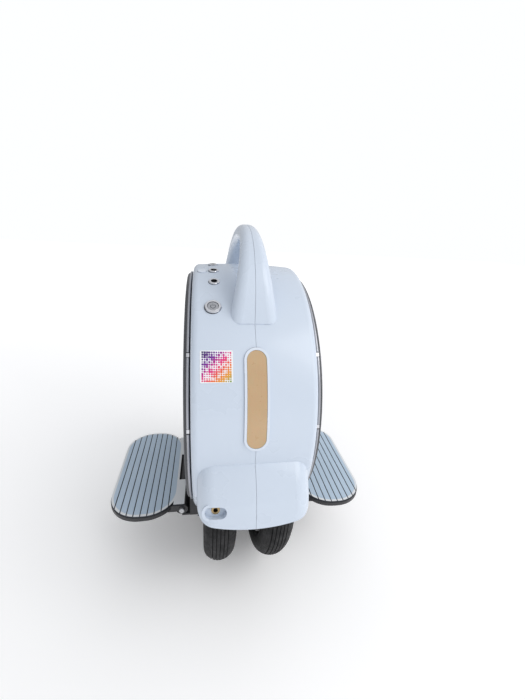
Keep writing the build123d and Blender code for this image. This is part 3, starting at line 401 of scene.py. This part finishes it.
# Painted shade: the grooves, below the mat's face, are coloured dark.
groove_shade = grip_mat.spread(mat_z, mat_high.z - 0.7 * MM, mat_high.z - 0.2 * MM, 1.0, 0.0)
grip_mat.colour(grip_mat.mix(groove_shade, lined, (0.045, 0.05, 0.06)))
grip_mat.roughness(grip_mat.spread(grip_mat.noise(0.008, 4.0), 0.3, 0.7, 0.50, 0.68))
grip_mat.bump(grip_mat.noise(0.0008, 3.0), 0.00004, grip_mat.bump(dot, 0.00025))
give(grip_mat, "pedal_mat_right", "pedal_mat_left")

# %% [markdown]
# ## The printed label
#
# A square of printed film sits on the casing's left. Its print here is a plain halftone: round dots on a
# white ground, large and small, in inks that run from blue through red to green. The dots are cells of a
# regular grid, and each cell's own random colour sets how large its dot is.

# %% Label film
label_film = Finish("label_film", Coat_Weight=0.4, Coat_Roughness=0.1)
label_x, _, label_z = label_film.axes()
dots_across = 14.0
along = label_film.spread(label_x, label_low.x, label_high.x, 0.0, 1.0)
downward = label_film.spread(label_z, label_low.z, label_high.z, 1.0, 0.0)
flat_place = label_film.node("ShaderNodeCombineXYZ")
label_film.wire(label_film.sum("MULTIPLY", along, dots_across), flat_place.inputs[0])
label_film.wire(label_film.sum("MULTIPLY", downward, dots_across), flat_place.inputs[1])
dot_grid = label_film.node("ShaderNodeTexVoronoi", voronoi_dimensions="2D")
dot_grid.inputs["Scale"].default_value = 1.0
dot_grid.inputs["Randomness"].default_value = 0.0
label_film.wire(flat_place.outputs[0], dot_grid.inputs["Vector"])
dot_chance = label_film.axes(dot_grid.outputs["Color"])[0]
dot_size = label_film.spread(dot_chance, 0.0, 1.0, 0.24, 0.66)
ink_here = label_film.sum("LESS_THAN", dot_grid.outputs["Distance"], dot_size)
slant = label_film.sum("MULTIPLY", label_film.sum("ADD", along, downward), 0.5)
inks = label_film.ramp(slant, (
    (0.05, (0.010, 0.012, 0.09)),
    (0.30, (0.16, 0.01, 0.28)),
    (0.48, (0.72, 0.015, 0.20)),
    (0.64, (0.80, 0.12, 0.03)),
    (0.80, (0.75, 0.33, 0.02)),
    (0.97, (0.05, 0.33, 0.10)),
))
in_x = label_film.sum("MULTIPLY", along, label_film.sum("SUBTRACT", 1.0, along))
in_z = label_film.sum("MULTIPLY", downward, label_film.sum("SUBTRACT", 1.0, downward))
inside_margin = label_film.sum("GREATER_THAN", label_film.sum("MINIMUM", in_x, in_z), 0.045)
printed = label_film.sum("MULTIPLY", ink_here, inside_margin)
paper = label_film.mix(label_film.noise(0.01, 3.0), (0.80, 0.82, 0.85), (0.86, 0.88, 0.90))
label_film.colour(label_film.mix(printed, paper, inks))
label_film.roughness(label_film.spread(label_film.noise(0.004, 4.0), 0.3, 0.7, 0.22, 0.34))
label_film.bump(label_film.noise(0.003, 2.0), 0.00004)
give(label_film, "label_plate")

# %% [markdown]
# ## Brass, black plastic and what is inside
#
# The fitting in the bumper is turned brass that has dulled a little. The insides are hidden until a cover
# comes off, but they get their real look too: green laminate with copper tracks, wound copper, shrink wrap.

# %% Brass, black plastic and the insides
brass_fitting = plated("brass_fitting", (0.42, 0.31, 0.16), 0.2, 0.36)
heat_sink_metal = plated("heat_sink_metal", (0.62, 0.62, 0.64), 0.3, 0.45)
button_metal = plated("button_metal", (0.46, 0.47, 0.50), 0.22, 0.34)
black_plastic = moulded_white("black_plastic", (0.030, 0.030, 0.034), (0.018, 0.018, 0.020), 0.34, 0.50)
liner_plastic = moulded_white("liner_plastic", (0.045, 0.045, 0.05), (0.03, 0.03, 0.034), 0.42, 0.56)
shrink_wrap = moulded_white("shrink_wrap", (0.04, 0.13, 0.33), (0.03, 0.10, 0.26), 0.18, 0.32)

laminate = Finish("circuit_laminate", Coat_Weight=0.3)
track_gap = laminate.cells(0.004, "DISTANCE_TO_EDGE")
track = laminate.spread(track_gap, 0.03, 0.08, 1.0, 0.0)
laminate.colour(laminate.mix(track, (0.012, 0.10, 0.045), (0.05, 0.22, 0.10)))
laminate.roughness(laminate.spread(laminate.noise(0.003), 0.3, 0.7, 0.28, 0.45))
laminate.bump(track, 0.00004)

winding = Finish("copper_winding", Metallic=0.85)
strands = winding.noise(0.0009, 2.0, winding.stretched((0.05, 1.0, 1.0)))
winding.colour(winding.mix(strands, (0.34, 0.12, 0.04), (0.66, 0.29, 0.11)))
winding.roughness(winding.spread(strands, 0.3, 0.7, 0.28, 0.45))
winding.bump(strands, 0.0002)

give(brass_fitting, "brass_insert", "valves")
give(heat_sink_metal, "heat_sink")
give(button_metal, "button_cap")
give(black_plastic, "socket_inserts", "button_switch", "axle_caps")
give(liner_plastic, "wheel_liner")
give(shrink_wrap, "battery_pack")
give(laminate, "led_boards", "controller_board", "gyro_board")
give(winding, "stator_coils")
left_plain = sorted(set(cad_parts) - set(finishes))
print("CAD pieces without a finish:", left_plain)

# %% [markdown]
# ## The mark on the power button
#
# The usual power mark, a broken ring with a bar, is etched and filled on the button's cap. It is far too fine
# for the CAD model, so it is built here as a thin swept tube that sinks into the cap's face and stands a
# hair proud of it. It rides on the button, so it moves when the button is pressed.

# %% Power mark
button_elevation = 53.9  # degrees above the horizon, seen from the drum's centre
button_angle = math.radians(button_elevation)
outward = Vector((0, -math.cos(button_angle), math.sin(button_angle)))
cap_top = max(vertex.co.dot(outward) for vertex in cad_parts["button_cap"].data.vertices)
cap_middle = (cap_low + cap_high) / 2
cap_face = cap_middle + outward * (cap_top - cap_middle.dot(outward))
along_cap = Vector((1, 0, 0))
up_cap = outward.cross(along_cap)


def swept(name, points, radius, rings=8, closed=False):
    """A round thread along a list of points: capped at both ends, or joined into a loop."""
    mesh = bpy.data.meshes.new(name)
    build = bmesh.new()
    loops = []
    last = len(points) - 1
    for index, point in enumerate(points):
        if closed:
            ahead = points[(index + 1) % len(points)] - points[index - 1]
        else:
            ahead = points[min(index + 1, last)] - points[max(index - 1, 0)]
        first = ahead.cross(outward).normalized()
        second = first.cross(ahead).normalized()
        corners = []
        for step in range(rings):
            turn = 2 * math.pi * step / rings
            offset = first * math.cos(turn) + second * math.sin(turn)
            corners.append(build.verts.new(point + radius * offset))
        loops.append(corners)
    following = loops[1:] + loops[:1] if closed else loops[1:]
    for near, far in zip(loops, following):
        for step in range(rings):
            after = (step + 1) % rings
            build.faces.new((near[step], near[after], far[after], far[step]))
    if not closed:
        build.faces.new(loops[0])
        build.faces.new(list(reversed(loops[-1])))
    bmesh.ops.recalc_face_normals(build, faces=build.faces)
    for face in build.faces:
        face.smooth = True
    build.to_mesh(mesh)
    build.free()
    piece = bpy.data.objects.new(name, mesh)
    bpy.context.scene.collection.objects.link(piece)
    return piece


def on_cap(right, up):
    return cap_face + along_cap * right + up_cap * up


mark_radius = 2.7 * MM
mark_thread = 0.32 * MM
mark_steps = 32
mark_gap = 76  # degrees left open at the top, where the bar stands
broken_ring = []
for step in range(mark_steps + 1):
    turn = math.radians(90 + mark_gap / 2 + (360 - mark_gap) * step / mark_steps)
    broken_ring.append(on_cap(mark_radius * math.cos(turn), mark_radius * math.sin(turn)))
mark_ring = swept("power_mark_ring", broken_ring, mark_thread)
bar = [on_cap(0, height * MM) for height in (0.6, 2.0, 3.4)]
mark_bar = swept("power_mark_bar", bar, mark_thread)
mark_ink = moulded_white("mark_ink", (0.02, 0.03, 0.05), (0.015, 0.02, 0.04), 0.3, 0.45)
for mark in (mark_ring, mark_bar):
    mark.data.materials.append(mark_ink.material)
    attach(mark, "power_button")
print("power mark at", tuple(round(part, 4) for part in cap_face))

# %% [markdown]
# ## Painted shadow rings
#
# A thin black ring round the flange of the panel button, each socket and the screw plug is painted shadow:
# it stands for the dark gap of shade round each flange, not for a real O-ring. Only its outer edge shows, as
# a dark outline round the flange. Each ring is a loop of thread swept round the edge of the flange, on the
# casing's own slope.

# %% Painted shadow rings under the flanges
shadow_ring_steps = 48
flange_depth = 3.5 * MM


def shadow_ring(name, node, elevation, radius, thickness, below):
    """A black ring of painted shadow round a flange that faces out of the drum, below the flange's top face.
    """
    low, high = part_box(node)
    facing = Vector((0, -math.cos(math.radians(elevation)), math.sin(math.radians(elevation))))
    across_face = Vector((1, 0, 0))
    up_face = facing.cross(across_face)
    corners = [vertex.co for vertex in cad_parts[node].data.vertices]
    proud = max(corner.dot(facing) for corner in corners)
    heights = [corner.dot(up_face) for corner in corners if proud - corner.dot(facing) < flange_depth]
    middle_up = (max(heights) + min(heights)) / 2
    middle = across_face * ((low.x + high.x) / 2) + up_face * middle_up + facing * (proud - below)
    points = []
    for step in range(shadow_ring_steps):
        turn = 2 * math.pi * step / shadow_ring_steps
        points.append(middle + radius * (across_face * math.cos(turn) + up_face * math.sin(turn)))
    # Painted shadow: this black ring stands for the shade in the gap round the flange.
    ring = swept(name, points, thickness, closed=True)
    ring.data.materials.append(seal_black.material)
    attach(ring, "chassis")
    return ring


# Painted shadow round the button, the sockets and the screw plug, drawn as thin black rings.
button_seal = shadow_ring("button_seal", "button_bezel", button_elevation, 9.4 * MM, 0.36 * MM, 2.2 * MM)
socket_shadow_rings = [
    shadow_ring(node + "_seal", node, elevation, 6.6 * MM, 0.30 * MM, 1.6 * MM)
    for node, elevation in (("charge_socket", 68.4), ("lamp_socket", 78.5), ("data_socket", 88.6))
]
plug_seal = shadow_ring("plug_seal", "screw_plug", 78.5, 5.95 * MM, 0.22 * MM, 1.6 * MM)
print("shadow_rings:", button_seal.name, plug_seal.name, [ring.name for ring in socket_shadow_rings])

# %% [markdown]
# ## Smooth shading
#
# CAD meshes come as flat triangles, so a round drum would show its facets. Shading every face smooth, but
# breaking the shading at each edge that turns more than a set angle, lets curved faces look curved and keeps
# real edges crisp. Bevels would soften corners too, but the model already has its own rounded edges.

# %% Smooth the CAD pieces
smooth_limit = math.radians(32)
for node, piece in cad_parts.items():
    for face in piece.data.polygons:
        face.use_smooth = True
    piece.data.set_sharp_from_angle(angle=smooth_limit)
print("smoothed", len(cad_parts), "pieces")

# %% [markdown]
# ## Floor, light and camera
#
# The machine stands on a pale floor under soft studio light. A bright, slightly cool surround does most of
# the work, stronger from the right than from the left. One large panel high on the right models the drum,
# and a weak one on the left keeps the shaded side from going dead. Far from the machine the floor glows
# a little, so that it runs into the surround with no line where they meet. The camera is close and wide, at
# about the height of someone who crouches in front.

# %% Floor
floor_mesh = bpy.data.meshes.new("floor")
build = bmesh.new()
floor_half = 6.0
bmesh.ops.create_grid(build, x_segments=8, y_segments=8, size=floor_half)
build.to_mesh(floor_mesh)
build.free()
floor = bpy.data.objects.new("floor", floor_mesh)
bpy.context.scene.collection.objects.link(floor)
floor.location.z = -0.0005
floor_paint = Finish("floor_paint", Specular_IOR_Level=0.1, Emission_Color=(1.0, 1.0, 1.0, 1.0))
floor_x, floor_y, _ = floor_paint.axes()
away = floor_paint.sum("MAXIMUM", floor_paint.sum("ABSOLUTE", floor_x), floor_paint.sum("ABSOLUTE", floor_y))
floor_glow = floor_paint.spread(away, 0.5, 2.4, 0.14, 0.42)
floor_paint.wire(floor_glow, floor_paint.shader.inputs["Emission Strength"])
floor_paint.colour(floor_paint.mix(floor_paint.noise(0.4, 3.0), (0.95, 0.95, 0.955), (0.97, 0.97, 0.975)))
floor_paint.roughness(floor_paint.spread(floor_paint.noise(0.1, 3.0), 0.3, 0.7, 0.8, 0.92))
floor.data.materials.append(floor_paint.material)
print("floor", tuple(round(size, 2) for size in floor.dimensions))


# %% Light
def panel(name, place, aim, size, power, tone):
    """A square area light that faces a point."""
    light = bpy.data.lights.new(name, "AREA")
    light.size = size
    light.energy = power
    light.color = tone
    lamp = bpy.data.objects.new(name, light)
    lamp.location = place
    lamp.rotation_euler = (Vector(aim) - Vector(place)).to_track_quat("-Z", "Y").to_euler()
    bpy.context.scene.collection.objects.link(lamp)
    return lamp


middle = Vector((0, 0, 0.25))  # what both panels face
key = panel("key_panel", (1.5, -1.2, 2.0), middle, 1.6, 19, (1.0, 0.985, 0.96))
fill = panel("fill_panel", (-1.8, -1.4, 0.9), middle, 1.6, 2, (0.88, 0.94, 1.0))
surround = bpy.data.worlds.new("soft_surround")
surround.use_nodes = True
backdrop = surround.node_tree.nodes["Background"]
backdrop.inputs["Color"].default_value = (0.97, 0.98, 1.0, 1.0)
seen = surround.node_tree.nodes.new("ShaderNodeLightPath").outputs["Is Camera Ray"]
direction = surround.node_tree.nodes.new("ShaderNodeTexCoord").outputs["Generated"]
towards_light = surround.node_tree.nodes.new("ShaderNodeVectorMath")
towards_light.operation = "DOT_PRODUCT"
towards_light.inputs[1].default_value = (0.85, -0.25, 0.45)
glow = surround.node_tree.nodes.new("ShaderNodeMapRange")
dim_side, bright_side = 0.27, 1.04
for socket, number in zip(glow.inputs[1:5], (-0.9, 0.9, dim_side, bright_side)):
    socket.default_value = number
backdrop_strength = 1.02  # what the camera sees behind the floor
strength = surround.node_tree.nodes.new("ShaderNodeMix")
strength.inputs[3].default_value = backdrop_strength
wires = surround.node_tree.links
wires.new(direction, towards_light.inputs[0])
wires.new(towards_light.outputs["Value"], glow.inputs["Value"])
wires.new(seen, strength.inputs[0])
wires.new(glow.outputs[0], strength.inputs[2])
wires.new(strength.outputs[0], backdrop.inputs["Strength"])
bpy.context.scene.world = surround
bpy.context.scene.view_settings.view_transform = "Standard"
print("lights:", key.name, fill.name)

# %% Camera
camera_data = bpy.data.cameras.new("camera")
camera_data.sensor_fit = "HORIZONTAL"
camera_data.sensor_width = 36.0
camera_data.lens = 23.16  # wide: the machine fills the frame from half a metre away
camera_data.clip_start = 0.02
camera = bpy.data.objects.new("camera", camera_data)
yaw, pitch, roll = (math.radians(angle) for angle in (10.10, 20.58, 3.45))
forward = Vector((math.sin(yaw) * math.cos(pitch), math.cos(yaw) * math.cos(pitch), -math.sin(pitch)))
level = Vector((math.cos(yaw), -math.sin(yaw), 0))
upright = level.cross(forward)
right = level * math.cos(roll) + upright * math.sin(roll)
up = upright * math.cos(roll) - level * math.sin(roll)
turn = Matrix((right, up, -forward)).transposed().to_4x4()
camera_place = Vector((-52.41, -472.32, 502.17)) * MM
camera.matrix_world = Matrix.Translation(camera_place) @ turn
bpy.context.scene.collection.objects.link(camera)
bpy.context.scene.camera = camera
print("camera at", tuple(round(part, 3) for part in camera.location))
